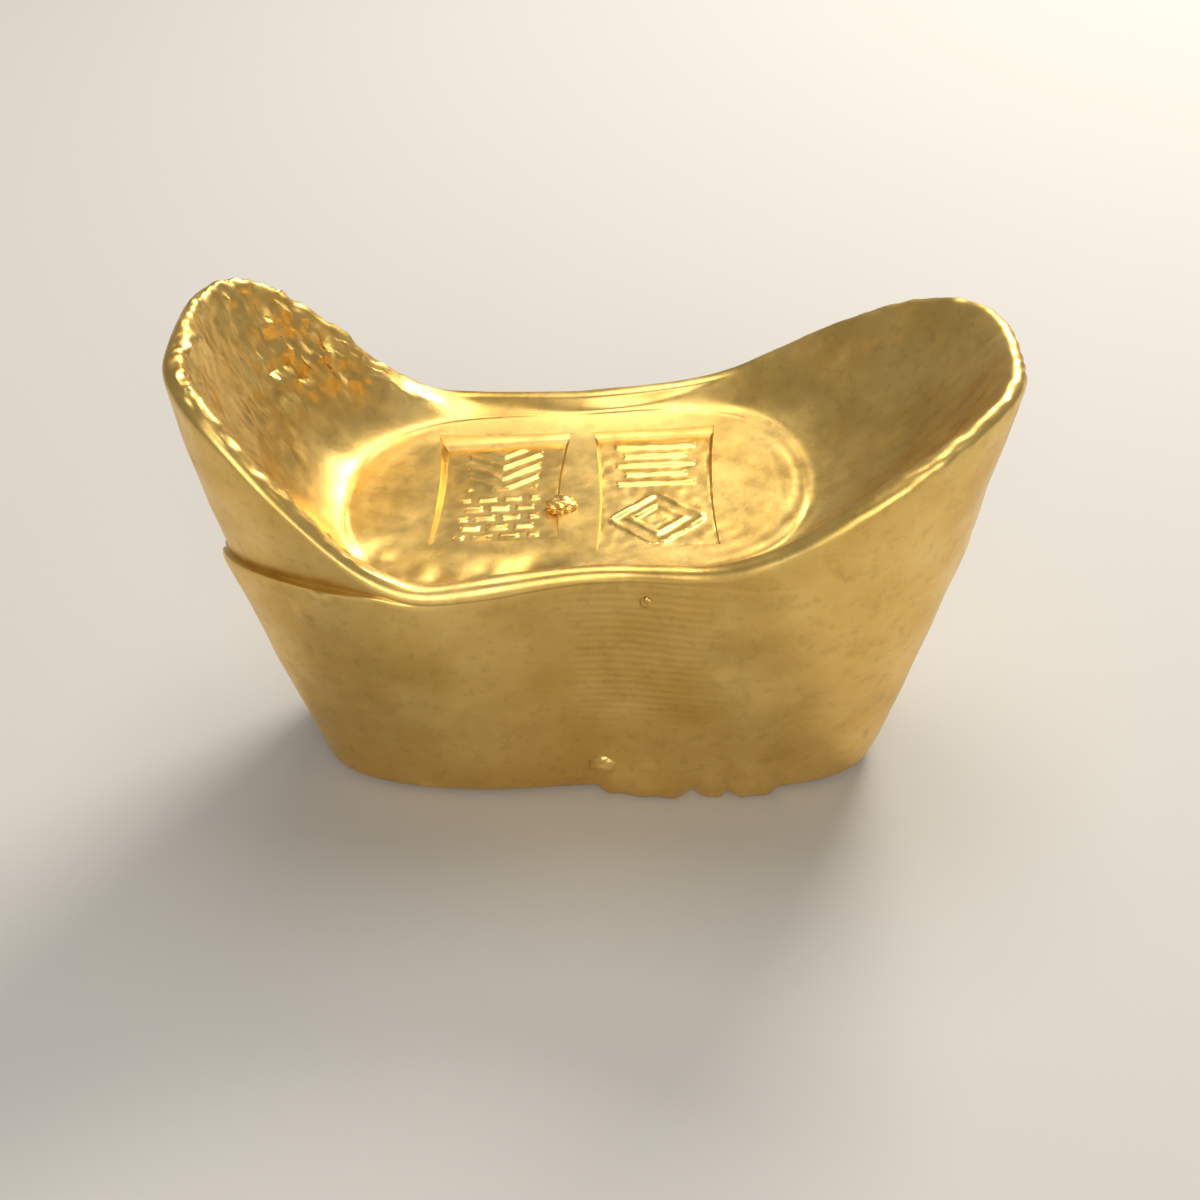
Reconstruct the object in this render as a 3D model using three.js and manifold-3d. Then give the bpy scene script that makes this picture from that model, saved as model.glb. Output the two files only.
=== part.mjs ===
// Boat-shaped gold ingot with a flat base, a waisted body and two raised ears,
// poured and set as one solid casting.
//
// Millimetres, +Z up. X runs from ear to ear, -Y is the front, and the flat base
// rests on Z = 0 with the origin under the middle of the ingot's outer box.

import * as THREE from 'three';
import { mergeVertices } from 'three/addons/utils/BufferGeometryUtils.js';
import Module from 'manifold-3d';

const { lerp, smoothstep, degToRad } = THREE.MathUtils;

// Driving dimensions.
// Squareness is the power of the rounded outline: 2 is an ellipse, more is boxier.

const RIM = {
  halfLength: 31.7,
  halfWidth: 15.2,
  leftSquareness: 3.2,
  rightSquareness: 2.6,
  waistDepth: 2.3,
  waistReach: 10,
  height: 26.1,
  tilt: 0.07,
  lipRadius: 0.9,
  lipTurn: 125,
};

const BASE = {
  halfLength: 23.4,
  halfWidth: 9.6,
  squareness: 3.4,
  waistDepth: 0.9,
  waistReach: 7,
  centreX: -0.2,
  edgeRadius: 1.6,
};

// An ear rises from its foot, at that distance from the middle, to its crest.
const LEFT_EAR = { foot: 12.3, crest: 33.3, rise: 15.8 };
const RIGHT_EAR = { foot: 6.7, crest: 31.7, rise: 9.3 };

// How far the walls swell past a straight line from base to rim, as a share of their flare.
const WALL_BELLY = 0.1;

// The hollowed slopes between the rim and the pool floor, by their run in plan.
const SCOOP = { leftRun: 10.2, rightRun: 13.9, sideRun: 1.5, hollow: 1.4 };

// The flat pool where the metal set last, with the rings that it left as it sank.
const POOL = {
  height: 24.2,
  tilt: 0.05,
  squareness: 2.2,
  waistDepth: 1.6,
  edgeStep: 0.12,
  ringCount: 3,
  ringPitch: 1.5,
  ringHeight: 0.12,
};

// The fold round the left end, where the ear's metal set inside a first skin:
// the skin's lip stands proud of the ear's wall, with a crease behind it.
const LAP = {
  endHeight: 21.8,
  frontHeight: 24.9,
  depth: 0.8,
  crease: 0.35,
  rimClearance: 0.6,
  backStart: 150,
  backFull: 168,
  frontFull: 232,
  frontEnd: 250,
};

// Punched panels, pressed in slightly askew so that one corner lies deepest.
// Turns are in degrees, and a panel's length is what the pool's waist leaves free.
const PANELS = [
  {
    x: -7.9,
    y: 1.6,
    width: 9.8,
    endMargin: 2.3,
    depth: 0.5,
    leanX: 2.4,
    leanY: -4.2,
    turn: -1.0,
  },
  {
    x: 4.4,
    y: 0.4,
    width: 9.2,
    endMargin: 1.6,
    depth: 0.32,
    leanX: 1.8,
    leanY: -1.6,
    turn: 0.5,
  },
];
const PANEL_WALL_SLOPE = 0.75;
const PANEL_PINCH = 0.35;
const PANEL_SQUARENESS = 14;
const PUNCH_HEIGHT = 6;

// Splashes and runs of metal that set on the skin, by place and half-sizes.
const BEADS = [
  { on: 'pool', x: -3.0, y: -1.6, size: [1.2, 1.0, 0.6] },
  { on: 'wall', x: 0.3, height: 3.9, size: [1.2, 0.5, 1.2] },
  { on: 'wall', x: 2.6, height: 1.6, size: [3.2, 1.0, 1.4] },
  { on: 'wall', x: 7.4, height: 1.4, size: [2.4, 0.8, 1.2] },
  { on: 'wall', x: 12.6, height: 1.5, size: [2.4, 1.0, 1.3] },
  { on: 'wall', x: 3.6, height: 23.4, size: [0.6, 0.4, 0.7] },
];
const BEAD_DETAIL = 2;

// How finely the skin is faceted.
const AROUND = 112;
const EDGE_STEPS = 4;
const WALL_STEPS = 7;
const EAR_STEPS = 4;
const LIP_STEPS = 6;
const SCOOP_STEPS = 7;
const PUNCH_AROUND = 48;

// Values that follow from the sizes above.
const lipTurn = degToRad(RIM.lipTurn);
const lipWidth = RIM.lipRadius * (1 - Math.cos(lipTurn));
const poolLeft = -(RIM.halfLength - lipWidth - SCOOP.leftRun);
const poolRight = RIM.halfLength - lipWidth - SCOOP.rightRun;
const poolCentreX = (poolLeft + poolRight) / 2;
const poolHalfLength = (poolRight - poolLeft) / 2;
const poolHalfWidth = RIM.halfWidth - lipWidth - SCOOP.sideRun;
const poolWaistWidth = 2 * (poolHalfWidth - POOL.waistDepth);
const halfTurn = Math.PI;
const fullTurn = 2 * Math.PI;

// A point of a rounded, waisted outline. Angle 0 is the right end and a quarter turn the back.
function outlinePoint(angle, shape) {
  const leftShare = 0.5 - 0.5 * Math.cos(angle);
  const power = lerp(shape.rightSquareness, shape.leftSquareness, leftShare);
  const across = Math.abs(Math.cos(angle)) ** power + Math.abs(Math.sin(angle)) ** power;
  const radius = across ** (-1 / power);
  const fromCentre = shape.halfLength * radius * Math.cos(angle);
  const waist = shape.waistDepth * Math.exp(-((fromCentre / shape.waistReach) ** 2));
  const halfWidth = shape.halfWidth - waist;
  return new THREE.Vector2(shape.centreX + fromCentre, halfWidth * radius * Math.sin(angle));
}

const rimShape = { ...RIM, centreX: 0 };

const baseShape = {
  ...BASE,
  leftSquareness: BASE.squareness,
  rightSquareness: BASE.squareness,
};

const poolShape = {
  halfLength: poolHalfLength,
  halfWidth: poolHalfWidth,
  leftSquareness: POOL.squareness,
  rightSquareness: POOL.squareness,
  waistDepth: POOL.waistDepth,
  waistReach: RIM.waistReach,
  centreX: poolCentreX,
};

// The direction that points into the outline, square to it.
function inward(angle, shape) {
  const nudge = 0.001;
  const before = outlinePoint(angle - nudge, shape);
  const after = outlinePoint(angle + nudge, shape);
  const along = after.sub(before).normalize();
  return new THREE.Vector2(-along.y, along.x);
}

function rimHeight(x) {
  const left = LEFT_EAR.rise * smoothstep(-x, LEFT_EAR.foot, LEFT_EAR.crest);
  const right = RIGHT_EAR.rise * smoothstep(x, RIGHT_EAR.foot, RIGHT_EAR.crest);
  return RIM.height + RIM.tilt * x + left + right;
}

function poolFloor(x) {
  return POOL.height + POOL.tilt * x;
}

function wallTop(angle) {
  return rimHeight(outlinePoint(angle, rimShape).x) - RIM.lipRadius;
}

// A point of the outer wall: level 0 is the top of the rounded base edge, 1 the foot of the lip.
function wallPoint(angle, level) {
  const spread = level + WALL_BELLY * Math.sin(halfTurn * level);
  const plan = outlinePoint(angle, baseShape).lerp(outlinePoint(angle, rimShape), spread);
  return new THREE.Vector3(plan.x, plan.y, lerp(BASE.edgeRadius, wallTop(angle), level));
}

// How strongly the fold shows at an angle: 1 round the left end, 0 where the walls are plain.
function lapStrength(angle) {
  const opens = smoothstep(angle, degToRad(LAP.backStart), degToRad(LAP.backFull));
  const closes = smoothstep(angle, degToRad(LAP.frontFull), degToRad(LAP.frontEnd));
  return opens * (1 - closes);
}

// The wall level that the fold's lip follows, kept below the rim along the front.
function lapLevel(angle) {
  const towardsFront = smoothstep(-Math.sin(angle), 0, 0.85);
  const height = lerp(LAP.endHeight, LAP.frontHeight, towardsFront);
  const top = wallTop(angle);
  const highest = (top - LAP.rimClearance - BASE.edgeRadius) / (top - BASE.edgeRadius);
  return Math.min((height - BASE.edgeRadius) / (top - BASE.edgeRadius), highest);
}

function setIn(point, angle, amount) {
  const direction = inward(angle, rimShape);
  point.x += direction.x * amount;
  point.y += direction.y * amount;
  return point;
}

// The rounded lower edge, from the flat base outwards and up to the wall.
function baseEdgePoint(angle, share) {
  const sweep = share * halfTurn / 2;
  const plan = outlinePoint(angle, baseShape);
  const direction = inward(angle, baseShape);
  const inset = BASE.edgeRadius * (1 - Math.sin(sweep));
  const height = BASE.edgeRadius * (1 - Math.cos(sweep));
  return new THREE.Vector3(plan.x + direction.x * inset, plan.y + direction.y * inset, height);
}

// The skin below the fold, up to its lip.
function lowerWallPoint(angle, share) {
  const proud = -0.5 * LAP.depth * lapStrength(angle) * share ** 4;
  return setIn(wallPoint(angle, share * lapLevel(angle)), angle, proud);
}

// The ear's wall above the fold, which starts down in the crease behind the lip.
function upperWallPoint(angle, share) {
  const strength = lapStrength(angle);
  const start = lapLevel(angle);
  const point = wallPoint(angle, lerp(start, 1, share));
  const fade = (1 - share) ** 2;
  point.z += (1 - share) * lerp(LAP.crease, -LAP.crease, strength);
  return setIn(point, angle, 0.5 * LAP.depth * strength * fade);
}

// The rounded lip, from the outer wall over the crest and part of the way down to the scoop.
function lipPoint(angle, share) {
  const sweep = share * lipTurn;
  const plan = outlinePoint(angle, rimShape);
  const direction = inward(angle, rimShape);
  const inset = RIM.lipRadius * (1 - Math.cos(sweep));
  const height = wallTop(angle) + RIM.lipRadius * Math.sin(sweep);
  return new THREE.Vector3(plan.x + direction.x * inset, plan.y + direction.y * inset, height);
}

// The hollowed slope from the lip down to the pool.
function scoopPoint(angle, share) {
  const start = lipPoint(angle, 1);
  const end = outlinePoint(angle, poolShape);
  const drop = 1 - (1 - share) ** SCOOP.hollow;
  return new THREE.Vector3(
    lerp(start.x, end.x, share),
    lerp(start.y, end.y, share),
    lerp(start.z, poolFloor(end.x) + POOL.edgeStep, drop),
  );
}

// A point of the pool, by its distance in from the pool's left and right ends.
function poolPoint(angle, distance, lift) {
  const share = 1 - distance / poolHalfLength;
  const edge = outlinePoint(angle, poolShape);
  const x = lerp(poolCentreX, edge.x, share);
  return new THREE.Vector3(x, edge.y * share, poolFloor(x) + lift);
}

// One ring of the skin: the same rule at each of the angles round the ingot.
function ring(rule, ...values) {
  return Array.from({ length: AROUND }, (_, i) => rule((i / AROUND) * fullTurn, ...values));
}

function rings(rule, steps, first) {
  const list = [];
  for (let i = first; i <= steps; i += 1) {
    list.push(ring(rule, i / steps));
  }
  return list;
}

// The pool's rings: a step down at its edge, then crests with troughs between them.
function poolRings() {
  const list = [ring(poolPoint, POOL.edgeStep, 0)];
  for (let i = 1; i <= POOL.ringCount; i += 1) {
    const crest = POOL.ringPitch * i;
    const fading = POOL.ringHeight / i;
    list.push(ring(poolPoint, crest, fading));
    list.push(ring(poolPoint, crest + POOL.ringPitch / 2, 0));
  }
  return list;
}

// A closed skin through a stack of rings, with a flat face on the first and the last.
function loft(stack) {
  const count = stack[0].length;
  const positions = stack.flat().flatMap((point) => point.toArray());
  const faces = [];
  for (let level = 0; level + 1 < stack.length; level += 1) {
    for (let i = 0; i < count; i += 1) {
      const next = (i + 1) % count;
      const a = level * count + i;
      const b = level * count + next;
      const c = a + count;
      const d = b + count;
      faces.push(a, b, d, a, d, c);
    }
  }
  const cap = (level, facesUp) => {
    const flat = stack[level].map((point) => new THREE.Vector2(point.x, point.y));
    const start = level * count;
    for (const [a, b, c] of THREE.ShapeUtils.triangulateShape(flat, [])) {
      faces.push(start + a, start + (facesUp ? b : c), start + (facesUp ? c : b));
    }
  };
  cap(0, false);
  cap(stack.length - 1, true);
  const geometry = new THREE.BufferGeometry();
  geometry.setAttribute('position', new THREE.Float32BufferAttribute(positions, 3));
  geometry.setIndex(faces);
  return geometry;
}

function ingotBlank() {
  return loft([
    ...rings(baseEdgePoint, EDGE_STEPS, 0),
    ...rings(lowerWallPoint, WALL_STEPS, 1),
    ...rings(upperWallPoint, EAR_STEPS, 0),
    ...rings(lipPoint, LIP_STEPS, 1),
    ...rings(scoopPoint, SCOOP_STEPS, 1),
    ...poolRings(),
  ]);
}

// The punch that presses one panel: a tapered block with slightly hollow sides.
function punch(panel) {
  const halfWidth = panel.width / 2;
  const halfLength = poolWaistWidth / 2 - panel.endMargin;
  const level = (height) => {
    const grow = (height - panel.depth) * PANEL_WALL_SLOPE;
    const shape = {
      halfLength: halfWidth + grow,
      halfWidth: halfLength + grow,
      leftSquareness: PANEL_SQUARENESS,
      rightSquareness: PANEL_SQUARENESS,
      waistDepth: 0,
      waistReach: 1,
      centreX: 0,
    };
    return Array.from({ length: PUNCH_AROUND }, (_, i) => {
      const point = outlinePoint((i / PUNCH_AROUND) * fullTurn, shape);
      const hollow = PANEL_PINCH * (1 - (point.y / shape.halfWidth) ** 2);
      point.x -= Math.sign(point.x) * hollow * Math.abs(point.x / shape.halfLength);
      return new THREE.Vector3(point.x, point.y, height);
    });
  };
  const geometry = loft([level(0), level(panel.depth), level(PUNCH_HEIGHT)]);
  geometry.rotateZ(degToRad(panel.turn));
  geometry.rotateX(degToRad(-panel.leanX));
  geometry.rotateY(degToRad(panel.leanY));
  geometry.translate(panel.x, panel.y, poolFloor(panel.x) - panel.depth);
  return geometry;
}

// The angle on the front of the wall whose foot lies at the given X.
function frontAngleAt(x) {
  let low = halfTurn;
  let high = fullTurn;
  for (let i = 0; i < 40; i += 1) {
    const middle = (low + high) / 2;
    if (outlinePoint(middle, baseShape).x < x) {
      low = middle;
    } else {
      high = middle;
    }
  }
  return (low + high) / 2;
}

function bead({ on, x, y, height, size }) {
  const [halfX, halfY, halfZ] = size;
  const geometry = new THREE.IcosahedronGeometry(1, BEAD_DETAIL);
  geometry.scale(halfX, halfY, halfZ);
  if (on === 'pool') {
    geometry.translate(x, y, poolFloor(x));
  } else {
    const angle = frontAngleAt(x);
    const level = (height - BASE.edgeRadius) / (wallTop(angle) - BASE.edgeRadius);
    const seat = wallPoint(angle, Math.max(level, 0));
    geometry.translate(seat.x, seat.y, Math.max(height, halfZ + 0.1));
  }
  return geometry;
}

const wasm = await Module();
wasm.setup();

function toSolid(geometry) {
  const bare = geometry.clone();
  bare.deleteAttribute('normal');
  bare.deleteAttribute('uv');
  const merged = mergeVertices(bare, 1e-4);
  const mesh = new wasm.Mesh({
    numProp: 3,
    vertProperties: new Float32Array(merged.attributes.position.array),
    triVerts: new Uint32Array(merged.index.array),
  });
  return new wasm.Manifold(mesh);
}

function toGeometry(solid) {
  const mesh = solid.getMesh();
  const geometry = new THREE.BufferGeometry();
  geometry.setAttribute('position', new THREE.BufferAttribute(mesh.vertProperties, 3));
  geometry.setIndex(new THREE.BufferAttribute(mesh.triVerts, 1));
  geometry.computeVertexNormals();
  return geometry;
}

let casting = toSolid(ingotBlank());
for (const panel of PANELS) {
  casting = casting.subtract(toSolid(punch(panel)));
}
for (const splash of BEADS) {
  casting = casting.add(toSolid(bead(splash)));
}

const gold = new THREE.MeshStandardMaterial({
  name: 'gold',
  color: 0xd6a84c,
  roughness: 0.32,
  metalness: 1,
});

const ingot = new THREE.Mesh(toGeometry(casting), gold);
ingot.name = 'cast_ingot';

const part = new THREE.Group();
part.add(ingot);

export default part;
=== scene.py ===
"""Looks of a boat-shaped gold ingot: one casting with a fold, a set pool and punched panels.

The casting is lofted ring by ring as a cage, subdivided, and then worked over as the metal was:
its skin gets the crinkled ear, the settling rings, the runs and the pits, and punches press its panels.
"""

from __future__ import annotations

import logging
import math
from dataclasses import dataclass
from enum import Enum

import bmesh
import bpy
import numpy as np
from mathutils import Matrix, Vector, noise

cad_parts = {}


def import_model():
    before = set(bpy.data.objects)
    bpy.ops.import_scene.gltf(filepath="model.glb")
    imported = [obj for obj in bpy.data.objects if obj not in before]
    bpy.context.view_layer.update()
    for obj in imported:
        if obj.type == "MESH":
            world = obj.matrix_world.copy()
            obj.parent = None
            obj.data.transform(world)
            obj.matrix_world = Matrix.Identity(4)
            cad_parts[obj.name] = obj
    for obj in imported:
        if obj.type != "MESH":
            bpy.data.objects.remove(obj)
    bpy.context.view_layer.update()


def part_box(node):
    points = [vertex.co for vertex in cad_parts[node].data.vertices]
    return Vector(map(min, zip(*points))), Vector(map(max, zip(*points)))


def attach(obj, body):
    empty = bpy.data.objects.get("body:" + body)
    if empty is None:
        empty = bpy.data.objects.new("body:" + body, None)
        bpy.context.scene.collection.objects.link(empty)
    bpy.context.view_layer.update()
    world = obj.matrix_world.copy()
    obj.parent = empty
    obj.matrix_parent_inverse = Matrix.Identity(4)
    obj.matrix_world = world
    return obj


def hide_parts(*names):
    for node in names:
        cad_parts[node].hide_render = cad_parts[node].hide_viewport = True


LOG = logging.getLogger("ingot")
MM = 0.001
NODE = "cast_ingot"
DRAWN_LENGTH = 63.4
HALF_TURN = math.pi
FULL_TURN = 2 * math.pi
Tint = tuple | bpy.types.NodeSocket


def ramp(low: float, high: float, value: np.ndarray) -> np.ndarray:
    """Rises smoothly from 0 at low to 1 at high.

    Args:
        low: Value where the rise starts.
        high: Value where it ends.
        value: Values to map.

    Returns:
        The share, from 0 to 1, of each value.
    """
    share = np.clip((value - low) / (high - low), 0.0, 1.0)
    return share * share * (3.0 - 2.0 * share)


def band(low: float, high: float, soft: float, value: np.ndarray) -> np.ndarray:
    """Is 1 between low and high, and fades to 0 over a soft margin outside.

    Args:
        low: Lower end of the band.
        high: Upper end of the band.
        soft: Width of each fading margin.
        value: Values to map.

    Returns:
        The share, from 0 to 1, of each value.
    """
    return ramp(low - soft, low, value) * (1.0 - ramp(high, high + soft, value))


def cloud(points: np.ndarray, size: float, seed: int, mask: np.ndarray | None = None) -> np.ndarray:
    """Soft noise between about -1 and 1.

    Args:
        points: Places, one row each.
        size: Width of a lump, in the points' unit.
        seed: Number that moves the pattern.
        mask: Where given, places with no share in it are skipped and stay 0.

    Returns:
        One value for each place.
    """
    shift = np.array((seed * 17.31, seed * 5.17, seed * 9.73))
    result = np.zeros(len(points))
    chosen = np.arange(len(points)) if mask is None else np.nonzero(mask > 0.003)[0]
    placed = points[chosen] / size + shift
    result[chosen] = [noise.noise(place) for place in placed.tolist()]
    return result


def facets(points: np.ndarray, size: float, seed: int, mask: np.ndarray) -> np.ndarray:
    """Flat crystal faces, each tilted its own way, between about -1 and 1.

    Args:
        points: Places, one row each.
        size: Width of a face, in the points' unit.
        seed: Number that moves the pattern.
        mask: Places with no share in it are skipped and stay 0.

    Returns:
        One value for each place.
    """
    result = np.zeros(len(points))
    shift = np.array((seed * 3.71, seed * 11.13, seed * 7.39))
    for index in np.nonzero(mask > 0.003)[0]:
        place = Vector((points[index] / size + shift).tolist())
        centre = noise.voronoi(place)[1][0]
        lean = noise.cell_vector(centre * 7.3)
        result[index] = (place - centre).dot(lean) * 1.2 + lean.x * 0.45
    return result


def pits(points: np.ndarray, size: float, seed: int, mask: np.ndarray) -> np.ndarray:
    """Round hollows, 1 at the middle of each and 0 between them.

    Args:
        points: Places, one row each.
        size: Spacing of the hollows, in the points' unit.
        seed: Number that moves the pattern.
        mask: Places with no share in it are skipped and stay 0.

    Returns:
        One value for each place.
    """
    result = np.zeros(len(points))
    shift = np.array((seed * 5.91, seed * 2.37, seed * 13.1))
    for index in np.nonzero(mask > 0.003)[0]:
        place = Vector((points[index] / size + shift).tolist())
        distances, centres = noise.voronoi(place)
        width = 0.12 + 0.22 * abs(noise.cell(centres[0] * 5.1))
        result[index] = max(0.0, 1.0 - (distances[0] / width) ** 2)
    return result


@dataclass(frozen=True)
class Outline:
    """A rounded outline in plan, drawn in at its waist. Squareness 2 is an ellipse, more is boxier."""

    half_length: float
    half_width: float
    left_squareness: float
    right_squareness: float
    waist_depth: float
    waist_reach: float
    centre_x: float = 0.0

    def points(self, angles: np.ndarray) -> np.ndarray:
        """Gives the outline's points.

        Args:
            angles: Angles in plan, from the right end towards the back.

        Returns:
            One row of X and Y for each angle.
        """
        cosine, sine = np.cos(angles), np.sin(angles)
        left_share = 0.5 - 0.5 * cosine
        power = self.right_squareness + (self.left_squareness - self.right_squareness) * left_share
        radius = (np.abs(cosine) ** power + np.abs(sine) ** power) ** (-1.0 / power)
        along = self.half_length * radius * cosine
        waist = self.waist_depth * np.exp(-((along / self.waist_reach) ** 2))
        across = (self.half_width - waist) * radius * sine
        return np.stack((self.centre_x + along, across), axis=1)

    def inward(self, angles: np.ndarray) -> np.ndarray:
        """Gives the directions that point into the outline, square to it.

        Args:
            angles: Angles in plan.

        Returns:
            One unit row of X and Y for each angle.
        """
        nudge = 0.001
        along = self.points(angles + nudge) - self.points(angles - nudge)
        along /= np.linalg.norm(along, axis=1, keepdims=True)
        return np.stack((-along[:, 1], along[:, 0]), axis=1)


@dataclass(frozen=True)
class Ear:
    """A raised end: it rises from its foot to its crest, both measured from the middle."""

    foot: float
    crest: float
    rise: float

    def lift(self, distance: np.ndarray) -> np.ndarray:
        """Gives the ear's height over the plain rim at a distance from the middle."""
        return self.rise * ramp(self.foot, self.crest, distance)


@dataclass(frozen=True)
class Fold:
    """The lap round the left end: a proud lip with a crease behind it, over a span of angles."""

    end_height: float = 21.8
    front_height: float = 24.9
    depth: float = 0.8
    crease: float = 0.35
    rim_clearance: float = 0.6
    back: tuple[float, float] = (150.0, 168.0)
    front: tuple[float, float] = (232.0, 250.0)

    def strength(self, angles: np.ndarray) -> np.ndarray:
        """Gives the fold's share at each angle: 1 round the left end, 0 on plain walls."""
        turns = np.degrees(angles)
        return ramp(*self.back, turns) * (1.0 - ramp(*self.front, turns))


@dataclass
class CastingForm:
    """The ingot's sizes, in millimetres, and the rules that give a point of its skin."""

    rim: Outline = Outline(31.7, 15.2, 3.2, 2.6, 2.3, 10.0)
    base: Outline = Outline(23.4, 9.6, 3.4, 3.4, 0.9, 7.0, -0.2)
    left_ear: Ear = Ear(12.3, 33.3, 15.8)
    right_ear: Ear = Ear(6.7, 31.7, 9.3)
    fold: Fold = Fold()
    rim_height: float = 26.1
    rim_tilt: float = 0.07
    lip_radius: float = 0.9
    lip_turn: float = math.radians(125.0)
    edge_radius: float = 1.6
    belly: float = 0.1
    left_run: float = 10.2
    right_run: float = 13.9
    side_run: float = 1.5
    hollow: float = 1.55
    pool_height: float = 24.2
    pool_tilt: float = 0.05
    pool_step: float = 0.03
    pool_squareness: float = 2.7
    pool_dish: float = 0.7

    def pool(self) -> Outline:
        """Gives the pool's outline, which the lip and the scoops leave free.

        Returns:
            The outline of the pool's edge.
        """
        lip = self.lip_radius * (1.0 - math.cos(self.lip_turn))
        left = -(self.rim.half_length - lip - self.left_run)
        right = self.rim.half_length - lip - self.right_run
        half_width = self.rim.half_width - lip - self.side_run
        square = self.pool_squareness
        middle = (left + right) / 2
        return Outline((right - left) / 2, half_width, square, square, 1.6, self.rim.waist_reach, middle)

    def crest_height(self, x: np.ndarray) -> np.ndarray:
        """Gives the lip's height at each X."""
        ears = self.left_ear.lift(-x) + self.right_ear.lift(x)
        return self.rim_height + self.rim_tilt * x + ears

    def floor_height(self, x: np.ndarray) -> np.ndarray:
        """Gives the pool floor's height at each X."""
        return self.pool_height + self.pool_tilt * x

    def pool_rise(self, angles: np.ndarray, share: float) -> np.ndarray:
        """Gives how far the metal clings up round the pool, most at its back, at a share of its outline."""
        around = 0.4 + 0.6 * ramp(0.2, 0.9, np.sin(angles))
        return self.pool_dish * around * max(0.0, (share - 0.66) / 0.34) ** 1.5

    def wall_top(self, angles: np.ndarray) -> np.ndarray:
        """Gives the height where the wall passes into the lip."""
        return self.crest_height(self.rim.points(angles)[:, 0]) - self.lip_radius

    def wall(self, angles: np.ndarray, level: np.ndarray) -> np.ndarray:
        """Gives points of the outer wall.

        Args:
            angles: Angles in plan.
            level: 0 at the top of the rounded base edge, 1 at the foot of the lip.

        Returns:
            One row of X, Y and Z for each angle.
        """
        spread = (level + self.belly * np.sin(HALF_TURN * level))[:, None]
        plan = self.base.points(angles) * (1.0 - spread) + self.rim.points(angles) * spread
        height = self.edge_radius + (self.wall_top(angles) - self.edge_radius) * level
        return np.column_stack((plan, height))

    def fold_level(self, angles: np.ndarray) -> np.ndarray:
        """Gives the wall level that the fold's lip follows, kept below the rim.

        Args:
            angles: Angles in plan, from the right end towards the back.

        Returns:
            The wall level, from 0 to 1, for each angle.
        """
        forward = ramp(0.0, 0.85, -np.sin(angles))
        height = self.fold.end_height + (self.fold.front_height - self.fold.end_height) * forward
        top = self.wall_top(angles)
        highest = top - self.fold.rim_clearance
        return (np.minimum(height, highest) - self.edge_radius) / (top - self.edge_radius)

    def underside(self, angles: np.ndarray, share: float) -> np.ndarray:
        """Gives a ring of the flat base at a share of its outline.

        Args:
            angles: Angles in plan, from the right end towards the back.
            share: 0 in the middle of the base, 1 at its edge.

        Returns:
            One row of X, Y and Z for each angle.
        """
        flat = self.base.points(angles) + self.base.inward(angles) * self.edge_radius
        centre = np.array((self.base.centre_x, 0.0))
        plan = centre + (flat - centre) * share
        return np.column_stack((plan, np.zeros(len(angles))))

    def base_edge(self, angles: np.ndarray, share: float) -> np.ndarray:
        """Gives a ring of the rounded lower edge, from the flat base up to the wall.

        Args:
            angles: Angles in plan, from the right end towards the back.
            share: 0 at the flat base, 1 at the foot of the wall.

        Returns:
            One row of X, Y and Z for each angle.
        """
        sweep = share * HALF_TURN / 2
        inset = self.edge_radius * (1.0 - math.sin(sweep))
        plan = self.base.points(angles) + self.base.inward(angles) * inset
        height = np.full(len(angles), self.edge_radius * (1.0 - math.cos(sweep)))
        return np.column_stack((plan, height))

    def lower_wall(self, angles: np.ndarray, share: float) -> np.ndarray:
        """Gives a ring of the skin below the fold, up to its proud lip.

        Args:
            angles: Angles in plan, from the right end towards the back.
            share: 0 at the foot of the wall, 1 at the fold.

        Returns:
            One row of X, Y and Z for each angle.
        """
        points = self.wall(angles, share * self.fold_level(angles))
        proud = 0.5 * self.fold.depth * self.fold.strength(angles) * share**4
        points[:, :2] -= self.rim.inward(angles) * proud[:, None]
        return points

    def upper_wall(self, angles: np.ndarray, share: float) -> np.ndarray:
        """Gives a ring of the wall above the fold, from the crease behind its lip.

        Args:
            angles: Angles in plan, from the right end towards the back.
            share: 0 in the crease behind the fold, 1 at the lip.

        Returns:
            One row of X, Y and Z for each angle.
        """
        strength = self.fold.strength(angles)
        start = self.fold_level(angles)
        points = self.wall(angles, start + (1.0 - start) * share)
        points[:, 2] += (1.0 - share) * self.fold.crease * (1.0 - 2.0 * strength)
        inset = 0.5 * self.fold.depth * strength * (1.0 - share) ** 2
        points[:, :2] += self.rim.inward(angles) * inset[:, None]
        return points

    def lip(self, angles: np.ndarray, share: float) -> np.ndarray:
        """Gives a ring of the rounded lip, from the outer wall over its crest.

        Args:
            angles: Angles in plan, from the right end towards the back.
            share: 0 at the outer wall, 1 where the scoop starts.

        Returns:
            One row of X, Y and Z for each angle.
        """
        sweep = share * self.lip_turn
        inset = self.lip_radius * (1.0 - math.cos(sweep))
        plan = self.rim.points(angles) + self.rim.inward(angles) * inset
        height = self.wall_top(angles) + self.lip_radius * math.sin(sweep)
        return np.column_stack((plan, height))

    def scoop(self, angles: np.ndarray, share: float) -> np.ndarray:
        """Gives a ring of the hollowed slope, from the lip down to the pool.

        Args:
            angles: Angles in plan, from the right end towards the back.
            share: 0 at the lip, 1 at the pool's edge.

        Returns:
            One row of X, Y and Z for each angle.
        """
        start = self.lip(angles, 1.0)
        plan = self.pool().points(angles)
        foot = np.column_stack((plan, self.floor_height(plan[:, 0]) + self.pool_step))
        foot[:, 2] += self.pool_rise(angles, 1.0)
        points = start + (foot - start) * share
        drop = 1.0 - (1.0 - share) ** self.hollow
        points[:, 2] = start[:, 2] + (foot[:, 2] - start[:, 2]) * drop
        return points

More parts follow.
